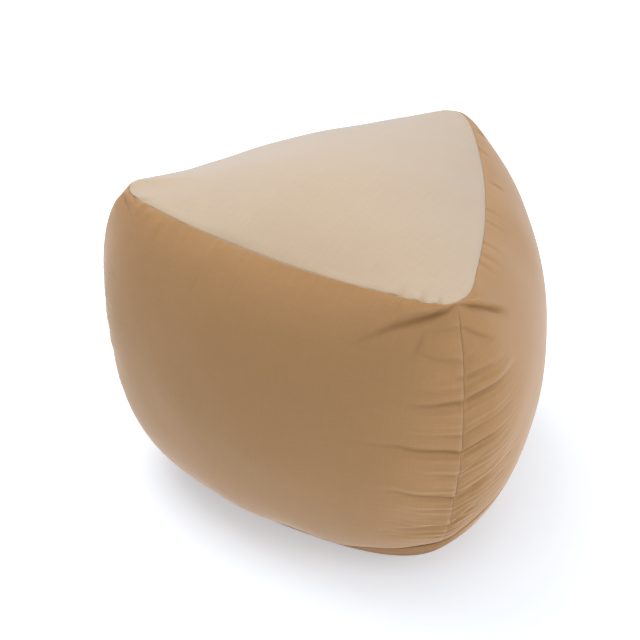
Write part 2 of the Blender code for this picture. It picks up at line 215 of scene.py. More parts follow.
# Creases that lie on one panel, from a start to an end, bent in the middle by a number of metres. Root is 1
# where a crease starts at a seam in full depth, and 0 where it fades in.
Crease = namedtuple("Crease", "start_angle start_row end_angle end_row bend root depth width")
CREASES = (
    Crease(-38.0, 0.110, -42.0, 0.195, 0.001, 0, 0.0010, 0.0045),
    Crease(-41.5, 0.175, -30.0, 0.225, 0.004, 0, 0.0013, 0.0055),
    Crease(-29.5, 0.140, -20.5, 0.190, 0.003, 0, 0.0010, 0.0055),
    Crease(-22.5, 0.090, -13.5, 0.170, 0.000, 0, 0.0022, 0.0035),
    Crease(-58.5, 0.410, -38.5, 0.415, 0.002, 0, -0.0010, 0.0050),
    Crease(-56.0, 0.510, -36.0, 0.550, 0.003, 0, -0.0012, 0.0050),
    Crease(-146.5, 0.005, -141.0, 0.075, 0.000, 1, 0.0013, 0.0045),
    Crease(-142.0, 0.010, -139.0, 0.100, 0.001, 1, -0.0015, 0.0040),
    Crease(-137.5, 0.030, -135.5, 0.105, 0.000, 0, 0.0010, 0.0040),
    Crease(-134.0, 0.020, -130.5, 0.120, 0.001, 0, -0.0013, 0.0045),
    Crease(-129.0, 0.005, -121.5, 0.135, 0.002, 1, 0.0009, 0.0050),
    Crease(-111.0, 0.060, -109.5, 0.200, 0.001, 0, 0.0008, 0.0050),
    Crease(-11.5, 0.005, -9.0, 0.090, 0.001, 1, 0.0007, 0.0045),
    Crease(-7.0, 0.005, -2.0, 0.120, 0.001, 1, 0.0007, 0.0045),
    Crease(0.0, 0.005, 3.5, 0.095, 0.001, 1, 0.0007, 0.0050),
    Crease(15.5, 0.005, 17.0, 0.090, 0.001, 1, 0.0006, 0.0050),
    Crease(24.5, 0.005, 23.5, 0.070, 0.000, 1, 0.0006, 0.0050),
    Crease(48.5, 0.010, 45.0, 0.080, 0.000, 0, 0.0012, 0.0045),
    Crease(69.0, 0.005, 63.0, 0.060, 0.001, 1, 0.0008, 0.0045),
    Crease(81.0, 0.010, 76.0, 0.070, 0.001, 0, 0.0010, 0.0045),
    Crease(104.0, 0.005, 108.5, 0.100, 0.001, 1, 0.0013, 0.0045),
    Crease(113.0, 0.005, 119.0, 0.085, 0.001, 1, 0.0010, 0.0050),
    Crease(183.0, 0.005, 178.0, 0.090, 0.001, 1, 0.0011, 0.0050),
    Crease(194.5, 0.005, 191.0, 0.110, 0.001, 1, 0.0014, 0.0045),
)
# How far back past its root a crease is still drawn, in its own lengths, and the power by which ends fade
ROOT_OVERRUN = 0.3
FADE_POWER = 1.5

# Puckers on the top, running in from its seam: angle at the seam, how far in they reach and how far they
# lean. They grow to their full depth within a short way of the seam.
Pucker = namedtuple("Pucker", "angle length lean depth width")
PUCKERS = (
    Pucker(-36.8, 0.030, 0.010, 0.0030, 0.0042),
    Pucker(-33.2, 0.024, 0.010, 0.0030, 0.0040),
    Pucker(-41.5, 0.030, 0.012, 0.0018, 0.0050),
    Pucker(-25.5, 0.022, -0.004, 0.0010, 0.0042),
    Pucker(84.0, 0.026, -0.005, 0.0012, 0.0045),
    Pucker(95.5, 0.028, 0.006, 0.0014, 0.0045),
    Pucker(204.5, 0.026, -0.005, 0.0012, 0.0045),
    Pucker(216.0, 0.024, 0.005, 0.0012, 0.0045),
)
PUCKER_START = 0.002

# Places on the top seam where the filling puffs the cloth up on both sides, or sinks
Puff = namedtuple("Puff", "angle spread lift reach_on_wall")
PUFFS = (
    Puff(206.5, 3.0, 0.0050, 0.006),
    Puff(194.0, 6.0, -0.0030, 0.060),
    Puff(183.0, 12.0, -0.0040, 0.080),
    Puff(94.0, 5.0, 0.0030, 0.006),
)
PUFF_REACH_ON_TOP = 0.060

# The hem of the bottom is folded under along the seam near the front corner. Its relief dies away over the
# last rows before the flat, and the painted shade along its line is darker than a fold's by a factor.
Hem = namedtuple("Hem", "middle reach from_seam depth width")
HEM = Hem(middle=-21.0, reach=33.0, from_seam=0.0080, depth=0.0026, width=0.0016)
HEM_END = 0.04
HEM_SHADE = 3.0
# The bottom is darkened with painted shade near the ground, up to this height, and all over the flat that it
# rests on
GROUND_SHADE = 0.80
GROUND_REACH = 0.080

# Slow unevenness of the filling: waves across the cloth, in different directions
Wave = namedtuple("Wave", "x y z phase height")
WAVES = (
    Wave(31.0, 12.0, -18.0, 0.4, 0.0007),
    Wave(-17.0, 36.0, 11.0, 2.1, 0.0006),
    Wave(9.0, -24.0, 43.0, 4.0, 0.0005),
    Wave(52.0, 29.0, 33.0, 1.3, 0.0003),
    Wave(-44.0, 38.0, -41.0, 5.2, 0.0003),
)

# Sewn edges: how far a panel stops short of its seam, the channel and the rolled edge that a seam makes, and
# its stitches
SEAM_GAP = 0.0001
CHANNEL_DEPTH = 0.0012
CHANNEL_WIDTH = 0.0060
ROLL_DEPTH = 0.0008
ROLL_WIDTH = 0.0014
STITCH_PITCH = 0.0032
STITCH_REACH = 0.0035

# How finely the surfaces are divided. Columns crowd towards the corners and rows towards the seams. Slopes
# are taken over ANGLE_STEP and ROW_STEP, and HALVINGS is how often a search halves its range.
SIDE_COLUMNS = 151
SIDE_ROWS = 301
ROUND_COLUMNS = 480
TOP_RINGS = 84
RIM_RINGS = 72
FLAT_RINGS = 12
FILLING_COLUMNS = 180
FILLING_TOP_RINGS = 40
FILLING_ROWS = 90
FILLING_RIM_RINGS = 36
FILLING_FLAT_RINGS = 8
COLUMN_POWER = 1.45
ROW_CROWDING = 0.45
ANGLE_STEP = 0.1
ROW_STEP = 0.002
HALVINGS = 30

# The filling lies this far under the outside of the cloth. Under the folds at the corners it stands back
# further, less so at the seams, where it starts from a share and grows over a short way.
FILLING_DEPTH = 0.0034
STAND_BACK = 0.0100
STAND_BACK_SPREAD = 22.0
STAND_BACK_AT_SEAM = 0.3
STAND_BACK_GROWTH = 0.003

# How the cloth settles: frames, steps in each, the mass of a point in kilograms, how stiff the cloth is, how
# far the filling may move, and how many rows of points the seams hold at a panel's edges
SETTLE_FRAMES = 20
SETTLE_QUALITY = 5
POINT_MASS = 0.3
STRETCH_STIFFNESS = 15.0
SHEAR_STIFFNESS = 5.0
BENDING_STIFFNESS = 0.5
FILLING_GIVE = 0.0008
SEWN_EDGE = 2

# The lamps round the cushion, which all face its middle: where each stands, its size, watts and colour
Lamp = namedtuple("Lamp", "name place size power colour")
LAMPS = (
    Lamp("overhead_light", (-1.45, 0.30, 2.35), 2.4, 43.0, (1.0, 0.99, 0.97)),
    Lamp("middle_light", (0.20, -0.30, 2.70), 2.4, 25.5, (1.0, 0.99, 0.97)),
    Lamp("right_light", (2.45, 0.05, 0.95), 1.8, 22.0, (1.0, 0.98, 0.95)),
    Lamp("left_light", (-2.40, 0.40, 1.30), 1.8, 4.5, (1.0, 0.98, 0.95)),
)
LAMP_TARGET = (0.0, 0.0, 0.2)
# The floor, the width of the camera's sensor in millimetres, and how far the camera sees
FLOOR_SIZE = 40.0
FLOOR_COLOUR = (0.85, 0.91, 0.99)
SENSOR_WIDTH = 36.0
FAR_CLIP = 100.0

# A look: the cloth's colour, the colour of a painted sheen of its nap where it is seen along the surface,
# the power by which that painted sheen gathers there, and how rough the cloth is
Look = namedtuple("Look", "colour nap nap_power roughness")
TOP_PAINTED_SHEEN_POWER = 1.5
TOP_ROUGHNESS = 0.85
SIDE_PAINTED_SHEEN_POWER = 3.0
SIDE_ROUGHNESS = 0.80
FILLING_PAINTED_SHEEN_POWER = 1.0
FILLING_ROUGHNESS = 0.90

# Unevenness of the cloth, in grains: their size, how far they are squeezed along the cloth, how finely they
# are divided, how much they lighten the dye and how high they stand. In order they are the mottle, the
# streaks of the warp and of the weft, and the nap, which also changes the roughness.
Grain = namedtuple("Grain", "size squeeze detail shade relief")
GRAINS = (
    Grain(0.1100, 1.00, 2.0, 0.25, 0.00060),
    Grain(0.0022, 0.05, 2.0, 0.65, 0.00008),
    Grain(0.0400, 18.0, 2.0, 0.65, 0.00008),
    Grain(0.0016, 1.00, 4.0, 0.60, 0.00016),
)
GRAIN_ROUGHNESS = 0.6
# Fine lines that the top seam drags down the sides, and how far down they reach
DRAG_LINES = Grain(0.0070, 0.08, 2.0, 0.0, 0.00220)
DRAG_REACH = 0.070

# The dye: the shade that gives the middle of its range, its darkest and lightest. The painted shade in a
# fold: how strongly it darkens the colour, and the share of each channel that its darkest colour keeps.
SHADE_MIDDLE = 0.57
DARK_DYE = 0.90
LIGHT_DYE = 1.09
FOLD_DARKNESS = 0.60
FOLD_SHADE_TINT = (0.40, 0.30, 0.22)
# How much of the painted sheen of the nap shows, how fast the painted shade of a fold hides it, and how much
# the nap's grains change the roughness
PAINTED_SHEEN_SHARE = 0.80
PAINTED_SHEEN_FOLD_LOSS = 2.5
ROUGHNESS_RANGE = 0.10
# Height of the yarns, as a share of their spacing, and of the needle puckers
YARN_RELIEF = 0.22
STITCH_RELIEF = 0.00018
# How sharply a yarn dives under the next, and the shape of a knitted stitch
CROSSING_SHARPNESS = 3.0
STITCH_LENGTH = 0.8
LEG_SLANT = 2.4
COLUMN_RELIEF = 0.6
LEG_RELIEF = 0.2
CLOTH_GLOSS = 0.05
SHEEN_ROUGHNESS = 0.3
SHEEN_TINT = (1.0, 0.96, 0.92, 1.0)


def blend(first, second, share):
    """The value a share of the way from the first to the second."""
    return first + (second - first) * share


def eased(share):
    """A share that starts and ends gently, by a cubic."""
    return (3.0 - 2.0 * share) * share ** 2


def arch(share):
    """A parabola that is 1 half way and 0 at both ends of a share."""
    return 4.0 * share * (1.0 - share)


def bell(across, width):
    """A bell that is 1 in the middle: e to the power of minus the square of the widths across."""
    return np.exp(-(across / width) ** 2)


def held(values):
    """Values held between 0 and 1."""
    return np.clip(values, 0.0, 1.0)


def turn_from(middle, angle):
    """The signed turn from a middle to each angle, from -180 up to 180."""
    return (angle - middle + 180.0) % 360.0 - 180.0


def nearest_corner(angle):
    """The index of the nearest corner for each angle, and the signed turn from it."""
    turns = turn_from(np.array([corner.angle for corner in CORNERS]), np.asarray(angle)[..., None])
    index = np.abs(turns).argmin(axis=-1)
    return index, np.take_along_axis(turns, index[..., None], axis=-1)[..., 0]


def of_corner(name, index):
    """One of the corners' measures, by its name, for each index of a corner."""
    return np.array([getattr(corner, name) for corner in CORNERS])[index]


def bow(outline):
    """How far behind the axis the bow of a side is centred, and its radius."""
    behind = (outline.reach ** 2 - outline.waist ** 2) / (2.0 * outline.waist - outline.reach)
    return behind, outline.waist + behind


def outline_radius(outline, angle):
    """Distance from the axis to a bowed outline: where a ray meets the side's circle, eased at the corners.

    Bells round the axis add the bulges of the top's outline.
    """
    _, turn = nearest_corner(angle)
    behind, radius = bow(outline)
    from_middle = np.radians(HALF_SIDE - np.hypot(turn, outline.ease))
    reach = np.sqrt(radius ** 2 - (behind * np.sin(from_middle)) ** 2) - behind * np.cos(from_middle)
    if outline is TOP_OUTLINE:
        for bulge in BULGES:
            reach = reach + bulge.out * bell(turn_from(bulge.angle, angle), bulge.spread)
    return reach


def cornerness(angle):
    """0 at the middle of a side and 1 at a corner, rounded off there by adding CORNER_EASE in quadrature."""
    _, turn = nearest_corner(angle)
    return held((HALF_SIDE - np.hypot(turn, CORNER_EASE)) / (HALF_SIDE - CORNER_EASE))


def top_seam_height(angle):
    """Height of the top seam: a power of the cornerness, from the side's height to the corner's."""
    index, _ = nearest_corner(angle)
    return blend(TOP_SEAM_HEIGHT, of_corner("height", index), cornerness(angle) ** HEIGHT_POWER)


def polar(radius, angle, height):
    """Points from their distances to the axis, angles about it and heights."""
    turned = np.radians(angle)
    return np.stack(np.broadcast_arrays(radius * np.cos(turned), radius * np.sin(turned), height), axis=-1)


def profile_at(angle):
    """The wall's profile: the side's and the corner's, mixed by a power of the cornerness, and the slump."""
    index, _ = nearest_corner(angle)
    share = cornerness(angle) ** PROFILE_POWER
    shoulder, fall, foot = (blend(side, corner, share) for side, corner in zip(SIDE_PROFILE, CORNER_PROFILE))
    slumped = eased(held((SLUMP.half_width - np.abs(turn_from(SLUMP.middle, angle))) / SLUMP.ease))
    extra = share * of_corner("extra_shoulder", index)
    return shoulder + extra + slumped * SLUMP.shoulder, fall + slumped * SLUMP.fall, foot


def smooth_wall(angle, row):
    """Points on the wall without folds: a cubic Bezier curve out over the shoulder, down and in to the flat.

    The corners are rounded out half way down, by a bell across them and a power of a parabola down them.
    """
    index, turn = nearest_corner(angle)
    sag = np.clip(1.0 - np.abs(turn) / ROW_SAG_REACH, 0.0, None)
    down = row + ROW_SAG * arch(row) * sag
    up = 1.0 - down
    shoulder, fall, foot = profile_at(angle)
    top_radius = outline_radius(TOP_OUTLINE, angle)
    top_height = top_seam_height(angle)
    flat_radius = outline_radius(FLAT_OUTLINE, angle)
    over_radius = top_radius + shoulder * np.cos(np.radians(fall))
    over_height = top_height - shoulder * np.sin(np.radians(fall))
    at_top, at_over, at_foot, at_flat = up ** 3, 3.0 * up * up * down, 3.0 * up * down * down, down ** 3
    radius = at_top * top_radius + at_over * over_radius
    radius = radius + at_foot * (flat_radius + foot) + at_flat * flat_radius
    radius = radius + of_corner("fill", index) * bell(turn, FILL_SPREAD) * held(arch(row)) ** FILL_POWER
    return polar(radius, angle, at_top * top_height + at_over * over_height)


def raised(angle, row, relief):
    """Points of the smooth wall, moved out along the cross product of its slopes down and around."""
    around = smooth_wall(angle + ANGLE_STEP, row) - smooth_wall(angle - ANGLE_STEP, row)
    down = smooth_wall(angle, row + ROW_STEP) - smooth_wall(angle, row - ROW_STEP)
    normal = np.cross(down, around)
    normal /= np.linalg.norm(normal, axis=-1, keepdims=True)
    return smooth_wall(angle, row) + normal * np.asarray(relief)[..., None]


def bottom_seam_height(angle):
    """Height of the bottom seam: a cubic Hermite curve through its points, once round."""
    angles = np.array([point.angle for point in BOTTOM_SEAM])
    heights = np.array([point.height for point in BOTTOM_SEAM])
    angles = np.concatenate((angles[-2:] - 360.0, angles, angles[:2] + 360.0))
    heights = np.concatenate((heights[-2:], heights, heights[:2]))
    slopes = (heights[2:] - heights[:-2]) / (angles[2:] - angles[:-2])
    place = (np.asarray(angle) - BOTTOM_SEAM[0].angle) % 360.0 + BOTTOM_SEAM[0].angle
    k = np.searchsorted(angles, place, side="right") - 1
    span = angles[k + 1] - angles[k]
    share = (place - angles[k]) / span
    level = blend(heights[k], heights[k + 1], eased(share))
    return level + span * share * (1.0 - share) * (slopes[k - 1] * (1.0 - share) - slopes[k] * share)


def bottom_seam_row(angle):
    """The row of the bottom seam, found by halving, because the wall only goes down."""
    height = bottom_seam_height(angle)
    above = np.zeros_like(height)
    below = np.ones_like(height)
    for _ in range(HALVINGS):
        middle = 0.5 * (above + below)
        higher = smooth_wall(angle, middle)[..., 2] > height
        above = np.where(higher, middle, above)
        below = np.where(higher, below, middle)
    return above


def crease_shape(across):
    """A trough of depth 1, by widths across: steep above, under a lower ridge, and long and gentle below."""
    below = np.where(across > 0.0, across / GENTLE, across)
    trough = (1.0 - SHARP_SHARE) * bell(below, 1.0) + SHARP_SHARE * bell(below, SHARP_WIDTH)
    return RIDGE_SHARE * bell(across + RIDGE_OFFSET, RIDGE_WIDTH) - trough


def crease_line(across):
    """The painted shade along the bottom of a crease, by widths across."""
    return bell(across - LINE_OFFSET, LINE_WIDTH)


def fold_relief(angle, row, shape):
    """The folds that cross a corner seam and fade to both ends: their depth times a shape across them."""
    index, turn = nearest_corner(angle)
    relief = np.zeros(np.broadcast(angle, row).shape)
    for fold in FOLDS:
        reach = np.where(turn < 0.0, fold.reach_before, fold.reach_after)
        climb = np.where(turn < 0.0, fold.climb_before, fold.climb_after)
        fading = np.clip(1.0 - (turn / reach) ** 2, 0.0, None) ** 2 * (index == fold.corner)
        across = (row - fold.row + climb * np.abs(turn) / CLIMB_SPAN) * WALL_LENGTH / fold.width
        relief += fold.depth * fading * shape(across)
    return relief


def wrinkle_relief(angle, row):
    """The fine wrinkles: half the sum of two sines down the wall, fading with the turn from the corner."""
    index, turn = nearest_corner(angle)
    down = WALL_LENGTH * row + WRINKLES.lean * WALL_RADIUS * np.radians(turn) ** 2
    waves = np.sin(2.0 * np.pi * down / WRINKLES.pitch + index)
    waves = waves + np.sin(2.0 * np.pi * down / WRINKLES.other_pitch)
    place = (row - WRINKLES.first_row) / (WRINKLES.last_row - WRINKLES.first_row)
    return 0.5 * WRINKLES.depth * waves * held(arch(place)) * bell(turn, WRINKLES.spread)


def crease_relief(angle, row, shape):
    """The creases of single panels: their depth times a shape across the line between their ends."""
    relief = np.zeros(np.broadcast(angle, row).shape)
    for crease in CREASES:
        right = WALL_RADIUS * np.radians(turn_from(crease.start_angle, angle))
        down = WALL_LENGTH * (row - crease.start_row)
        run_right = WALL_RADIUS * math.radians(crease.end_angle - crease.start_angle)
        run_down = WALL_LENGTH * (crease.end_row - crease.start_row)
        length = math.hypot(run_right, run_down)
        along = (right * run_right + down * run_down) / length ** 2
        across = (down * run_right - right * run_down) / length - crease.bend * arch(along)
        if crease.root:
            fading = held(1.0 - along ** 2) ** 2 * (along > -ROOT_OVERRUN)
        else:
            fading = held(arch(along)) ** FADE_POWER
        relief += crease.depth * fading * shape(across / crease.width)
    return relief


def wave_relief(points):
    """Slow unevenness: a sum of sine waves through space."""
    relief = np.zeros(points.shape[:-1])
    for wave in WAVES:
        relief += wave.height * np.sin(points @ np.array([wave.x, wave.y, wave.z]) + wave.phase)
    return relief


def seam_relief(distance):
    """How a seam draws the cloth in: a wide channel with the edge rolled over at its bottom."""
    return -CHANNEL_DEPTH * bell(distance, CHANNEL_WIDTH) - ROLL_DEPTH * bell(distance, ROLL_WIDTH)


def puff_lift(angle, distance, on_wall):
    """How far up the filling pushes the cloth near the top seam, at a distance from the seam."""
    lift = np.zeros(np.broadcast(angle, distance).shape)
    for puff in PUFFS:
        reach = puff.reach_on_wall if on_wall else PUFF_REACH_ON_TOP
        lift += puff.lift * bell(turn_from(puff.angle, angle), puff.spread) * bell(distance, reach)
    return lift


def seam_distances(angle, row, seam_row):
    """Distances over the cloth from the top seam, the bottom seam and the corner seam."""
    _, turn = nearest_corner(angle)
    shoulder, _, _ = profile_at(angle)
    from_corner = TOP_OUTLINE.reach * np.radians(np.abs(turn))
    return BEZIER_START * shoulder * row, WALL_LENGTH * np.abs(seam_row - row), from_corner


def fold_share(from_top, from_bottom, from_corner):
    """How much of a fold the seams leave: none at the top and bottom seams, and less at a corner seam."""
    kept = 1.0 - SEAM_HOLD * bell(from_corner, SEAM_HOLD_REACH)
    return kept * held(np.minimum(from_top, from_bottom) / FOLD_FADE)


def fold_shade(angle, row, seam_row):
    """How deep in a fold the cloth lies, from 0 to 1, for the painted shade that the material darkens it by
    there.
    """
    shade = fold_relief(angle, row, crease_line) * fold_share(*seam_distances(angle, row, seam_row))
    return held((shade + crease_relief(angle, row, crease_line)) / DEEP_FOLD)


def side_points(angle, row, seam_row, strength, fine):
    """Points on a side panel: the smooth wall, raised by its folds and drawn in at its seams.

    Fine adds the wrinkles and the creases, which the coarse grid for the simulation can't hold.
    """
    from_top, from_bottom, from_corner = seam_distances(angle, row, seam_row)
    relief = fold_relief(angle, row, crease_shape) + fine * wrinkle_relief(angle, row)
    relief = relief * fold_share(from_top, from_bottom, from_corner)
    relief = relief + wave_relief(smooth_wall(angle, row)) * held(from_top / FOLD_FADE)
    if fine:
        relief = relief + crease_relief(angle, row, crease_shape)
    covered = from_corner + SEAM_COVER * bell(row, SEAM_COVER_ROW)
    covered = covered + LOWER_COVER * bell(seam_row - row, LOWER_COVER_ROW)
    nearest = np.minimum(np.minimum(from_top, from_bottom), covered)
    points = raised(angle, row, strength * relief + seam_relief(nearest))
    points[..., 2] += puff_lift(angle, from_top, True)
    return points


def fullness(level):
    """1 over the middle of the top and 0 on its bows: the product of the ways into the three circles."""
    behind, radius = bow(TOP_OUTLINE)
    full = 1.0
    for panel in SIDE_PANELS:
        inside = radius - np.linalg.norm(level - polar(-behind, panel.middle, 0.0), axis=-1)
        full = full * np.clip(inside, 0.0, None) / TOP_OUTLINE.waist
    return full


def pucker_relief(angle, seam_radius, from_seam, shape):
    """The puckers that run in from the top seam and fade: their depth times a shape across them."""
    relief = np.zeros(np.broadcast(angle, from_seam).shape)
    for pucker in PUCKERS:
        along = from_seam / pucker.length
        turn = np.radians(turn_from(pucker.angle, angle))
        across = (turn * (seam_radius - from_seam) - pucker.lean * along) / pucker.width
        fading = held(1.0 - along) ** FADE_POWER * held(from_seam / PUCKER_START)
        relief += pucker.depth * fading * shape(across)
    return relief


def top_points(angle, share, crown, strength):
    """Points on the top: a dome over the level between the seams, with its puckers and its sewn edge.

    A fourth power of the share takes off what the dome has left at the eased corners, and the height rises to
    the seam's by the square of the share.
    """
    seam_radius = outline_radius(TOP_OUTLINE, angle)
    level = polar(share * seam_radius, angle, 0.0)
    dome = fullness(level) - fullness(polar(seam_radius, angle, 0.0)) * share ** 4
    from_seam = (1.0 - share) * seam_radius
    points = np.array(level)
    points[..., 2] = blend(TOP_SEAM_HEIGHT, top_seam_height(angle), share ** 2) + crown * dome
    points[..., 2] += strength * pucker_relief(angle, seam_radius, from_seam, crease_shape)
    points[..., 2] += strength * wave_relief(points) * held(from_seam / FOLD_FADE)
    points[..., 2] += puff_lift(angle, from_seam, False)
    start = np.zeros_like(share)
    return points + raised(angle, start, seam_relief(from_seam)) - smooth_wall(angle, start)


def hem_relief(angle, from_seam, shape):
    """The fold in the hem: its depth times a shape across it."""
    fading = held(1.0 - ((angle - HEM.middle) / HEM.reach) ** 2)
    return HEM.depth * fading * shape((from_seam - HEM.from_seam) / HEM.width)


def bottom_points(angle, row, seam_row):
    """Points on the bottom's rim, from the bottom seam in to the flat, drawn in at the seam."""
    from_seam = WALL_LENGTH * (row - seam_row)
    hem = hem_relief(angle, from_seam, crease_shape)
    return raised(angle, row, (seam_relief(from_seam) + hem) * held((1.0 - row) / HEM_END))


def filling_points(angle, row, seam_row):
    """Points on the filling's side, which stands back at the corners under the folds."""
    _, turn = nearest_corner(angle)
    from_top, from_bottom, from_corner = seam_distances(angle, row, seam_row)
    nearest = np.minimum(np.minimum(from_top, from_bottom), from_corner)
    standing = STAND_BACK * bell(turn, STAND_BACK_SPREAD)
    for distance in (from_top, from_bottom):
        standing = standing * held(STAND_BACK_AT_SEAM + distance / STAND_BACK_GROWTH)
    return raised(angle, row, seam_relief(nearest) - standing - FILLING_DEPTH)


def eased_steps(count):
    """Shares from 0 to 1 that crowd at both ends: an even run less a part of a sine."""
    even = np.linspace(0.0, 1.0, count)
    return even - ROW_CROWDING * np.sin(2.0 * np.pi * even) / (2.0 * np.pi)


def crowded(even):
    """Even places from -1 to 1, moved out towards both ends by a power."""
    return np.sign(even) * (1.0 - (1.0 - np.abs(even)) ** COLUMN_POWER)


def panel_turns():
    """The turns of a side panel's columns from its middle, up to the gaps at its corner seams."""
    edge = HALF_SIDE - math.degrees(SEAM_GAP / TOP_OUTLINE.reach)
    return edge * crowded(np.linspace(-1.0, 1.0, SIDE_COLUMNS))


def angles_round(count):
    """Angles once round the axis, crowded at the corners as the side panels' columns are."""
    turns = HALF_SIDE * crowded(np.linspace(-1.0, 1.0, count // len(SIDE_PANELS), endpoint=False))
    return np.concatenate([panel.middle + turns for panel in SIDE_PANELS])


def arc_lengths(points, axis):
    """Distance along a grid's lines from their first point: the sum of the steps."""
    steps = np.linalg.norm(np.diff(points, axis=axis), axis=-1)
    first = np.zeros_like(np.take(steps, [0], axis=axis))
    return np.concatenate((first, np.cumsum(steps, axis=axis)), axis=axis)


def doubled(values, axis):
    """A grid with the middle of each step put in along one axis."""
    values = np.moveaxis(values, axis, 0)
    result = np.empty((2 * len(values) - 1,) + values.shape[1:])
    result[::2] = values
    result[1::2] = 0.5 * (values[:-1] + values[1:])
    return np.moveaxis(result, 0, axis)


def lay_cloth(name, points, maps, seam, fold, ring=False, first=None, last=None):
    """A mesh over a grid of points whose rows run down and whose columns run round.

    Ring joins the last column to the first, and first or last close the mesh to a single point. For the
    material, maps are the places on the flat cloth, seam is the distance from the nearest seam, and fold is
    how much painted shade a point takes: how deep it lies in a fold or crease, and on the bottom also how
    near it lies to the ground.
    """
    rows, columns = points.shape[:2]
    index = np.arange(rows * columns).reshape(rows, columns)
    if ring:
        index = np.concatenate((index, index[:, :1]), axis=1)
    corners = (index[:-1, :-1], index[1:, :-1], index[1:, 1:], index[:-1, 1:])
    faces = np.stack(corners, axis=-1).reshape(-1, 4).tolist()
    places = points.reshape(-1, 3)
    flat = maps.reshape(-1, 2)
    distances = seam.reshape(-1)
    depths = fold.reshape(-1)
    for pole, edge in ((first, index[0]), (last, index[-1, ::-1])):
        if pole is not None:
            faces += [[len(places), int(a), int(b)] for a, b in zip(edge[:-1], edge[1:])]
            places = np.concatenate((places, [pole]))
            flat = np.concatenate((flat, [[0.0, 0.0]]))
            distances = np.concatenate((distances, [1.0]))
            depths = np.concatenate((depths, [0.0]))
    mesh = bpy.data.meshes.new(name)
    mesh.from_pydata(places.tolist(), [], faces)
    loops = np.empty(len(mesh.loops), dtype=np.int32)
    mesh.loops.foreach_get("vertex_index", loops)
    mesh.uv_layers.new(name="cloth").data.foreach_set("uv", flat[loops].ravel())
    mesh.attributes.new("seam", "FLOAT", "POINT").data.foreach_set("value", distances)
    mesh.attributes.new("fold", "FLOAT", "POINT").data.foreach_set("value", depths)
    mesh.shade_smooth()
    piece = bpy.data.objects.new(name, mesh)
    bpy.context.scene.collection.objects.link(piece)
    return piece


def settle(points, pressure, cap, pinned, ring=False):
    """How far each point of a grid moves when the filling presses the cloth, at most a cap.

    The grid is run as cloth with no gravity, and pinned points stay where they are.
    """
    scene = bpy.context.scene
    nothing = np.zeros(points.shape[:2])
    piece = lay_cloth("settling", points, points[..., :2], nothing, nothing, ring)
    piece.vertex_groups.new(name="sewn").add(np.flatnonzero(pinned.ravel()).tolist(), 1.0, "REPLACE")
    cloth = piece.modifiers.new("cloth", "CLOTH")
    cloth.settings.quality = SETTLE_QUALITY
    cloth.settings.mass = POINT_MASS
    cloth.settings.tension_stiffness = STRETCH_STIFFNESS
    cloth.settings.compression_stiffness = STRETCH_STIFFNESS
    cloth.settings.shear_stiffness = SHEAR_STIFFNESS
    cloth.settings.bending_stiffness = BENDING_STIFFNESS
    cloth.settings.use_pressure = True
    cloth.settings.uniform_pressure_force = pressure
    cloth.settings.effector_weights.gravity = 0.0
    cloth.settings.vertex_group_mass = "sewn"
    cloth.collision_settings.use_collision = False
    cloth.collision_settings.use_self_collision = False
    cloth.point_cache.frame_start = 1
    cloth.point_cache.frame_end = SETTLE_FRAMES
    for step in range(1, SETTLE_FRAMES + 1):
        scene.frame_set(step)
    settled = piece.evaluated_get(bpy.context.evaluated_depsgraph_get())
    places = np.empty(points.size, dtype=np.float32)
    settled.data.vertices.foreach_get("co", places)
    mesh = piece.data
    bpy.data.objects.remove(piece, do_unlink=True)
    bpy.data.meshes.remove(mesh)
    scene.frame_set(1)
    moved = places.reshape(points.shape).astype(float) - points
    length = np.linalg.norm(moved, axis=-1, keepdims=True)
    return moved * cap / np.maximum(length, cap)


def thicken(piece, thickness):
    """Give a laid cloth its thickness inwards, with closed edges."""
    cloth = piece.modifiers.new("thickness", "SOLIDIFY")
    cloth.thickness = thickness
    cloth.offset = -1.0
    cloth.use_even_offset = True


def finish_piece(piece, material, node):
    """Give a piece its material, put it in the place of its node and let it ride on the cushion's body."""
    piece.data.materials.append(material)
    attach(piece, "root")
    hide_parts(node)


def finish_panel(piece, thickness, material, node):
    """Finish a panel: give it its thickness inwards, then its material and its place on the cushion's body.
    """
    thicken(piece, thickness)
    finish_piece(piece, material, node)


class Shade:
    """A socket in a material. Arithmetic on it adds Math nodes."""

    def __init__(self, tree, socket=None):
        self.tree = tree
        self.socket = socket

    def node(self, kind, settings=None, inputs=None, output=0):
        """Add a node: its settings first, then its inputs' values or links. Gives one of its outputs."""
        node = self.tree.nodes.new(kind)
        for name, value in (settings or {}).items():
            setattr(node, name, value)
        for name, value in (inputs or {}).items():
            if isinstance(value, Shade):
                self.tree.links.new(value.socket, node.inputs[name])
            else:
                node.inputs[name].default_value = value
        return Shade(self.tree, node.outputs[output])

    def math(self, operation, *values):
        """A Math node of the given operation on values and sockets."""
        return self.node("ShaderNodeMath", {"operation": operation}, dict(enumerate(values)))

    def __add__(self, other):
        return self.math("ADD", self, other)

    def __sub__(self, other):
        return self.math("SUBTRACT", self, other)

    def __rsub__(self, other):
        return self.math("SUBTRACT", other, self)

    def __mul__(self, other):
        return self.math("MULTIPLY", self, other)

    __radd__ = __add__
    __rmul__ = __mul__

    def __abs__(self):
        return self.math("ABSOLUTE", self)

    def sine(self):
        """Sine of the value, in radians."""
        return self.math("SINE", self)

    def held(self):
        """The value, held between 0 and 1."""
        return self.node("ShaderNodeClamp", inputs={"Value": self})

    def noise(self, grain):
        """Noise over the places that this socket gives, with the size, squeeze and detail of a grain."""
        scaled = self.node("ShaderNodeMapping", inputs={"Vector": self, "Scale": (1.0, grain.squeeze, 1.0)})
        values = {"Scale": 1.0 / grain.size, "Detail": grain.detail, "Roughness": GRAIN_ROUGHNESS}
        return self.node("ShaderNodeTexNoise", inputs={"Vector": scaled, **values})

    def colour(self, first, second):
        """A colour that is mixed from the first to the second by the value."""
        values = {"Factor": self, "A": first, "B": second}
        return self.node("ShaderNodeMix", {"data_type": "RGBA"}, values, output=2)


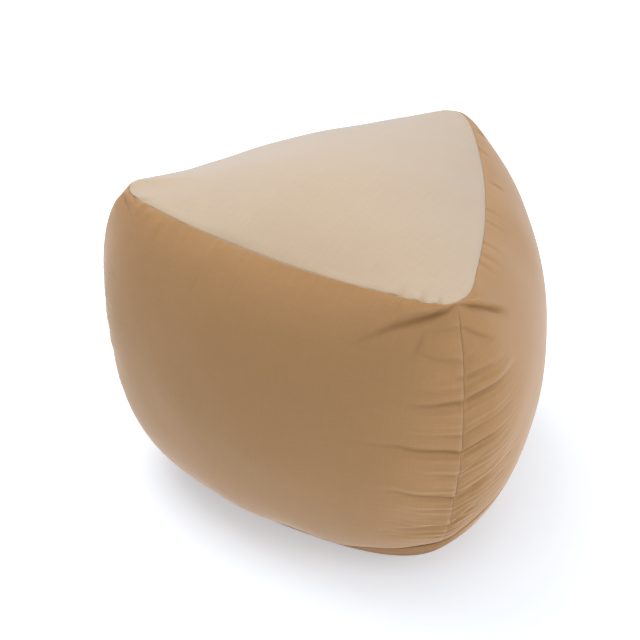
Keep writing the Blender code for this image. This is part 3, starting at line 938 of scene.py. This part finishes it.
def woven_height(across, along, yarn):
    """Height of a plain weave from 0 to 1: half-round yarns, each passing over and under by turns."""
    warp = (across * (math.pi / yarn)).sine()
    weft = (along * (math.pi / yarn)).sine()
    warp_on_top = (warp * weft * CROSSING_SHARPNESS + 0.5).held()
    return abs(warp) * warp_on_top + abs(weft) * (1.0 - warp_on_top)


def knitted_height(across, along, stitch):
    """Height of a fine jersey from 0 to 1: columns of stitches whose legs slant up to their edges."""
    column = abs((across * (math.pi / stitch)).sine())
    leg = (along * (2.0 * math.pi / (STITCH_LENGTH * stitch)) + column * LEG_SLANT).sine()
    return column * COLUMN_RELIEF + leg * LEG_RELIEF + LEG_RELIEF


def dye(colour, shares):
    """A colour with each channel multiplied by its share, at most full, and a full alpha."""
    return [min(share * channel, 1.0) for share, channel in zip(shares, colour)] + [1.0]


def cloth_material(name, look, height_of, yarn, sheen, dragged=False):
    """A cloth: its weave or knit, uneven yarns, a mottled dye, painted shade in its folds, a soft nap with a
    painted sheen where it is seen along the surface, and needle puckers at the seams.

    Dragged adds the fine lines below the top seam.
    """
    material = bpy.data.materials.new(name)
    material.use_nodes = True
    tree = material.node_tree
    start = Shade(tree)
    place = start.node("ShaderNodeUVMap", {"uv_map": "cloth"})
    across = start.node("ShaderNodeSeparateXYZ", inputs={"Vector": place}, output=0)
    along = start.node("ShaderNodeSeparateXYZ", inputs={"Vector": place}, output=1)
    seam = start.node("ShaderNodeAttribute", {"attribute_name": "seam"}, output=2)
    fold = start.node("ShaderNodeAttribute", {"attribute_name": "fold"}, output=2)
    facing = start.node("ShaderNodeLayerWeight", inputs={"Blend": 0.5}, output=1)
    grains = [place.noise(grain) for grain in GRAINS]
    near_seam = (1.0 - seam * (1.0 / STITCH_REACH)).held()
    stitches = ((across + along) * (2.0 * math.pi / STITCH_PITCH)).sine() * near_seam

    shade = sum(noise * grain.shade for noise, grain in zip(grains, GRAINS)) - SHADE_MIDDLE
    tint = shade.held().colour(dye(look.colour, [DARK_DYE] * 3), dye(look.colour, [LIGHT_DYE] * 3))
    # Painted shade: the fold attribute darkens the colour towards a brown in folds, creases and puckers,
    # along the hem and near the ground
    tint = (fold * FOLD_DARKNESS).colour(tint, dye(look.colour, FOLD_SHADE_TINT))
    # Painted sheen: the colour turns towards the nap's pale colour where the cloth is seen along its surface,
    # less in folds
    nap = facing.math("POWER", facing, look.nap_power) * (1.0 - fold * PAINTED_SHEEN_FOLD_LOSS).held() * PAINTED_SHEEN_SHARE
    tint = nap.colour(tint, [*look.nap, 1.0])

    height = height_of(across, along, yarn) * (YARN_RELIEF * yarn) + stitches * STITCH_RELIEF
    height = height + sum(noise * grain.relief for noise, grain in zip(grains, GRAINS))
    if dragged:
        near_top = (along * (1.0 / DRAG_REACH) + 1.0).held()
        height = height + place.noise(DRAG_LINES) * near_top * DRAG_LINES.relief
    bump = start.node("ShaderNodeBump", inputs={"Strength": 1.0, "Distance": 1.0, "Height": height})
    roughness = grains[-1] * ROUGHNESS_RANGE + (look.roughness - 0.5 * ROUGHNESS_RANGE)

    shader = tree.nodes["Principled BSDF"]
    for socket, value in (("Base Color", tint), ("Normal", bump), ("Roughness", roughness)):
        tree.links.new(value.socket, shader.inputs[socket])
    shader.inputs["Specular IOR Level"].default_value = CLOTH_GLOSS
    shader.inputs["Sheen Weight"].default_value = sheen
    shader.inputs["Sheen Roughness"].default_value = SHEEN_ROUGHNESS
    shader.inputs["Sheen Tint"].default_value = SHEEN_TINT
    return material


def floor_material(glow):
    """A plain matt white, which glows a little as a lit floor does."""
    material = bpy.data.materials.new("floor_white")
    material.use_nodes = True
    shader = material.node_tree.nodes["Principled BSDF"]
    shader.inputs["Base Color"].default_value = (*FLOOR_COLOUR, 1.0)
    shader.inputs["Roughness"].default_value = 1.0
    shader.inputs["Specular IOR Level"].default_value = 0.0
    shader.inputs["Emission Color"].default_value = (*FLOOR_COLOUR, 1.0)
    shader.inputs["Emission Strength"].default_value = glow
    return material


def length_property(name, description, default, precision=2):
    """A property that holds a length."""
    return bpy.props.FloatProperty(
        name=name, description=description, default=default, unit="LENGTH", precision=precision
    )


def colour_property(name, description, default):
    """A property that holds a colour."""
    return bpy.props.FloatVectorProperty(
        name=name, description=description, default=default, subtype="COLOR"
    )


class CushionForm(bpy.types.PropertyGroup):
    """Sizes of the cushion that a user would change."""

    crown: length_property(
        "Crown", "Rise of the top's middle over the top seam", TOP_OF_CROWN - TOP_SEAM_HEIGHT
    )
    thickness: length_property("Cloth thickness", "Thickness of every panel", 0.0020)
    fold_strength: bpy.props.FloatProperty(
        name="Folds",
        description="Depth of the folds, as a share of the real one",
        default=1.0,
        subtype="FACTOR",
    )
    pressure: bpy.props.FloatProperty(
        name="Pressure", description="How hard the filling presses the cloth out", default=4.0
    )
    give: length_property("Give", "The most that the cloth may move as it settles", 0.0025)


class CushionFinish(bpy.types.PropertyGroup):
    """Colours and yarns of the cushion's cloth."""

    top_colour: colour_property("Top", "Colour of the knitted top", (0.617, 0.477, 0.340))
    side_colour: colour_property("Sides", "Colour of the woven sides and bottom", (0.478, 0.276, 0.130))
    # Colours of the painted sheen where the top and the sides are seen along their surface
    top_painted_sheen: colour_property("Top's nap", "Colour of the top seen along its surface", (0.615, 0.570, 0.545))
    side_painted_sheen: colour_property("Sides' nap", "Colour of the sides seen along them", (0.84, 0.65, 0.52))
    # The filling is painted a dark brown, as painted shade that shows in the gaps of the seams
    seam_shade_colour: colour_property("In the seams", "Colour of what shows in the seams", (0.31, 0.18, 0.09))
    yarn: length_property("Yarn", "Spacing of the woven yarns", 0.0006, precision=5)
    stitch: length_property("Stitch", "Spacing of the knitted columns", 0.0010, precision=5)
    sheen: bpy.props.FloatProperty(
        name="Nap", description="How much the nap glows at the edges", default=0.1, subtype="FACTOR"
    )


class CushionStudio(bpy.types.PropertyGroup):
    """The camera, the floor and the lights."""

    azimuth: bpy.props.FloatProperty(
        name="Azimuth",
        description="Angle of the view round the cushion",
        default=math.radians(34.15),
        unit="ROTATION",
    )
    elevation: bpy.props.FloatProperty(
        name="Elevation",
        description="Height of the view as an angle",
        default=math.radians(34.0),
        unit="ROTATION",
    )
    distance: length_property("Distance", "Distance from the camera to what it looks at", 2.523)
    aside: length_property("Aside", "How far left of the axis the camera looks", 0.0393)
    target_height: length_property("Looks at", "Height of the point that the camera looks at", 0.2535)
    lens: bpy.props.FloatProperty(name="Lens", description="Focal length in millimetres", default=97.04)
    sky: bpy.props.FloatProperty(name="Sky", description="Strength of the light from all round", default=0.28)
    glow: bpy.props.FloatProperty(name="Glow", description="Light from the floor itself", default=0.43)
    lamps: bpy.props.FloatProperty(
        name="Lamps", description="Power of the lamps, as a share of the usual", default=1.0
    )


class CUSHION_OT_make_filling(bpy.types.Operator):
    """Make the filled form that the panels are sewn round"""

    bl_idname = "cushion.make_filling"
    bl_label = "Make the filling"

    def execute(self, context):
        form = context.scene.cushion_form
        finish = context.scene.cushion_finish
        angle = angles_round(FILLING_COLUMNS)[None, :]
        seam_row = bottom_seam_row(angle)
        share = np.linspace(0.0, 1.0, FILLING_TOP_RINGS)[1:, None] + np.zeros_like(angle)
        top = top_points(angle, share, form.crown, 0.0)
        top[..., 2] -= FILLING_DEPTH
        below = eased_steps(FILLING_ROWS)[1:, None]
        side = filling_points(angle, below * seam_row, seam_row)
        rim = np.linspace(0.0, 1.0, FILLING_RIM_RINGS)[1:, None]
        bottom = raised(angle, blend(seam_row, 1.0, rim), -FILLING_DEPTH)
        flat = np.linspace(1.0, 0.0, FILLING_FLAT_RINGS, endpoint=False)[1:, None]
        base = polar(flat * outline_radius(FLAT_OUTLINE, angle), angle, FILLING_DEPTH)
        points = np.concatenate((top, side, bottom, base))
        pinned = np.zeros(points.shape[:2], dtype=bool)
        pinned[-len(base):] = True
        points += settle(points, form.pressure, FILLING_GIVE, pinned, ring=True)
        first = (0.0, 0.0, TOP_SEAM_HEIGHT + form.crown - FILLING_DEPTH)
        last = (0.0, 0.0, FILLING_DEPTH)
        seam = np.ones(points.shape[:2])
        fold = np.zeros(points.shape[:2])
        piece = lay_cloth(
            "bead_filling", points, points[..., :2], seam, fold, ring=True, first=first, last=last
        )
        # The filling's colour is painted shade for the gaps in the seams; its painted sheen has the same
        # colour
        look = Look(finish.seam_shade_colour, finish.seam_shade_colour, FILLING_PAINTED_SHEEN_POWER, FILLING_ROUGHNESS)
        material = cloth_material("seam_shade", look, woven_height, finish.yarn, 0.0)
        finish_piece(piece, material, "filled_body")
        return {"FINISHED"}


class CUSHION_OT_make_top(bpy.types.Operator):
    """Make the crowned top panel"""

    bl_idname = "cushion.make_top"
    bl_label = "Make the top"

    def execute(self, context):
        form = context.scene.cushion_form
        finish = context.scene.cushion_finish
        angle = angles_round(ROUND_COLUMNS)[None, :]
        ring = np.linspace(0.0, 1.0, TOP_RINGS)[1:, None]
        inside = 1.0 - SEAM_GAP / TOP_OUTLINE.waist
        share = inside * crowded(ring) + np.zeros_like(angle)
        points = top_points(angle, share, form.crown, form.fold_strength)
        centre = (0.0, 0.0, TOP_SEAM_HEIGHT + form.crown)
        reach = arc_lengths(np.concatenate((np.broadcast_to(centre, points[:1].shape), points)), 0)[1:]
        maps = polar(reach, angle, 0.0)[..., :2]
        seam_radius = outline_radius(TOP_OUTLINE, angle)
        seam = (1.0 - share) * seam_radius
        # Painted shade along the puckers, carried by the fold attribute
        fold = pucker_relief(angle, seam_radius, seam, crease_line) / DEEP_FOLD
        piece = lay_cloth("top_panel_cloth", points, maps, seam, fold, ring=True, first=centre)
        look = Look(finish.top_colour, finish.top_painted_sheen, TOP_PAINTED_SHEEN_POWER, TOP_ROUGHNESS)
        material = cloth_material("top_knit", look, knitted_height, finish.stitch, finish.sheen)
        finish_panel(piece, form.thickness, material, "top_panel")
        return {"FINISHED"}


class CUSHION_OT_make_sides(bpy.types.Operator):
    """Make the three side panels"""

    bl_idname = "cushion.make_sides"
    bl_label = "Make the sides"

    def execute(self, context):
        form = context.scene.cushion_form
        finish = context.scene.cushion_finish
        look = Look(finish.side_colour, finish.side_painted_sheen, SIDE_PAINTED_SHEEN_POWER, SIDE_ROUGHNESS)
        material = cloth_material(
            "side_weave", look, woven_height, finish.yarn, finish.sheen, dragged=True
        )
        turns = panel_turns()[None, :]
        share = eased_steps(SIDE_ROWS)[:, None]
        for panel in SIDE_PANELS:
            angle = panel.middle + turns + 0.0 * share
            seam_row = bottom_seam_row(angle)
            shoulder, _, _ = profile_at(angle)
            first_row = SEAM_GAP / (BEZIER_START * shoulder)
            row = np.clip(share * seam_row, first_row, seam_row - SEAM_GAP / WALL_LENGTH)
            points = side_points(angle, row, seam_row, form.fold_strength, True)
            coarse = (slice(None, None, 2), slice(None, None, 2))
            places = (angle[coarse], row[coarse], seam_row[coarse])
            start = side_points(*places, form.fold_strength, False)
            pinned = np.ones(start.shape[:2], dtype=bool)
            pinned[SEWN_EDGE:-SEWN_EDGE, SEWN_EDGE:-SEWN_EDGE] = False
            points += doubled(doubled(settle(start, form.pressure, form.give, pinned), 0), 1)
            right = arc_lengths(points, 1)
            maps = np.stack((right - right[:, SIDE_COLUMNS // 2, None], -arc_lengths(points, 0)), axis=-1)
            seam = np.minimum.reduce(seam_distances(angle, row, seam_row))
            # The fold attribute carries the painted shade of the folds and creases
            piece = lay_cloth(panel.piece, points, maps, seam, fold_shade(angle, row, seam_row))
            finish_panel(piece, form.thickness, material, panel.node)
        return {"FINISHED"}


class CUSHION_OT_make_bottom(bpy.types.Operator):
    """Make the bottom panel, which is flat where it rests"""

    bl_idname = "cushion.make_bottom"
    bl_label = "Make the bottom"

    def execute(self, context):
        form = context.scene.cushion_form
        finish = context.scene.cushion_finish
        angle = angles_round(ROUND_COLUMNS)[None, :]
        seam_row = bottom_seam_row(angle)
        share = eased_steps(RIM_RINGS)[:, None]
        row = blend(seam_row + SEAM_GAP / WALL_LENGTH, 1.0, share)
        rim = bottom_points(angle, row, seam_row)
        inner = np.linspace(1.0, 0.0, FLAT_RINGS, endpoint=False)[1:, None]
        flat = polar(inner * outline_radius(FLAT_OUTLINE, angle), angle, 0.0)
        points = np.concatenate((rim, flat))
        reach = arc_lengths(np.concatenate((points, np.zeros_like(points[:1]))), 0)
        maps = polar((reach[-1] - reach)[:-1], angle, 0.0)[..., :2]
        from_seam = WALL_LENGTH * (row - seam_row)
        seam = np.concatenate((from_seam, np.ones(flat.shape[:2])))
        # Painted shade: along the hem's fold, and near the ground on the rim and all over the flat
        hem = HEM_SHADE * hem_relief(angle, from_seam, crease_line) / DEEP_FOLD
        ground = GROUND_SHADE * held(1.0 - rim[..., 2] / GROUND_REACH)
        fold = np.concatenate((np.maximum(hem, ground), np.full(flat.shape[:2], GROUND_SHADE)))
        piece = lay_cloth("bottom_panel_cloth", points, maps, seam, fold, ring=True, last=(0.0, 0.0, 0.0))
        look = Look(finish.side_colour, finish.side_painted_sheen, SIDE_PAINTED_SHEEN_POWER, SIDE_ROUGHNESS)
        material = cloth_material("bottom_weave", look, woven_height, finish.yarn, finish.sheen)
        finish_panel(piece, form.thickness, material, "bottom_panel")
        return {"FINISHED"}


def add_lamp(lamp, share):
    """A square soft light that faces the middle of the cushion."""
    light = bpy.data.lights.new(lamp.name, "AREA")
    light.shape = "SQUARE"
    light.size = lamp.size
    light.energy = lamp.power * share
    light.color = lamp.colour
    holder = bpy.data.objects.new(lamp.name, light)
    bpy.context.scene.collection.objects.link(holder)
    holder.location = lamp.place
    aim = np.array(LAMP_TARGET) - np.array(lamp.place)
    pitch = math.pi - math.acos(aim[2] / np.linalg.norm(aim))
    holder.rotation_euler = (pitch, 0.0, math.atan2(aim[1], aim[0]) - math.pi / 2.0)


class CUSHION_OT_make_studio(bpy.types.Operator):
    """Make the floor, the soft light and the camera"""

    bl_idname = "cushion.make_studio"
    bl_label = "Make the studio"

    def execute(self, context):
        studio = context.scene.cushion_studio
        scene = context.scene
        bpy.ops.mesh.primitive_plane_add(size=FLOOR_SIZE)
        floor = context.object
        floor.name = "floor"
        floor.data.materials.append(floor_material(studio.glow))
        world = bpy.data.worlds.new("soft_sky")
        world.use_nodes = True
        background = world.node_tree.nodes["Background"]
        background.inputs["Color"].default_value = (1.0, 1.0, 1.0, 1.0)
        background.inputs["Strength"].default_value = studio.sky
        scene.world = world
        for lamp in LAMPS:
            add_lamp(lamp, studio.lamps)
        camera = bpy.data.cameras.new("camera")
        camera.lens = studio.lens
        camera.sensor_width = SENSOR_WIDTH
        camera.clip_end = FAR_CLIP
        viewer = bpy.data.objects.new("camera", camera)
        scene.collection.objects.link(viewer)
        right = np.array([math.cos(studio.azimuth), math.sin(studio.azimuth), 0.0])
        level = np.array([math.sin(studio.azimuth), -math.cos(studio.azimuth), 0.0])
        up = np.array([0.0, 0.0, 1.0])
        back = level * math.cos(studio.elevation) + up * math.sin(studio.elevation)
        target = up * studio.target_height - right * studio.aside
        viewer.location = target + back * studio.distance
        viewer.rotation_euler = (math.pi / 2.0 - studio.elevation, 0.0, studio.azimuth)
        scene.camera = viewer
        scene.view_settings.view_transform = "Standard"
        return {"FINISHED"}


class CUSHION_PT_sidebar(bpy.types.Panel):
    """The cushion's sizes, colours and studio"""

    bl_idname = "CUSHION_PT_sidebar"
    bl_label = "Bead cushion"
    bl_space_type = "VIEW_3D"
    bl_region_type = "UI"
    bl_category = "Cushion"

    def draw(self, context):
        for group in (context.scene.cushion_form, context.scene.cushion_finish, context.scene.cushion_studio):
            for name in group.__annotations__:
                self.layout.prop(group, name)
        for operator in OPERATORS:
            self.layout.operator(operator.bl_idname)


OPERATORS = (
    CUSHION_OT_make_filling,
    CUSHION_OT_make_top,
    CUSHION_OT_make_sides,
    CUSHION_OT_make_bottom,
    CUSHION_OT_make_studio,
)
GROUPS = {"cushion_form": CushionForm, "cushion_finish": CushionFinish, "cushion_studio": CushionStudio}


def register():
    """Register the groups, the operators and the panel."""
    for name, group in GROUPS.items():
        bpy.utils.register_class(group)
        setattr(bpy.types.Scene, name, bpy.props.PointerProperty(type=group))
    for kind in OPERATORS + (CUSHION_PT_sidebar,):
        bpy.utils.register_class(kind)


def unregister():
    """Take everything back out."""
    for kind in OPERATORS + (CUSHION_PT_sidebar,):
        bpy.utils.unregister_class(kind)
    for name, group in GROUPS.items():
        delattr(bpy.types.Scene, name)
        bpy.utils.unregister_class(group)


def main():
    """Register the add-on, then make every piece and the studio."""
    register()
    bpy.ops.cushion.make_filling()
    bpy.ops.cushion.make_top()
    bpy.ops.cushion.make_sides()
    bpy.ops.cushion.make_bottom()
    bpy.ops.cushion.make_studio()


if __name__ == "__main__":
    main()
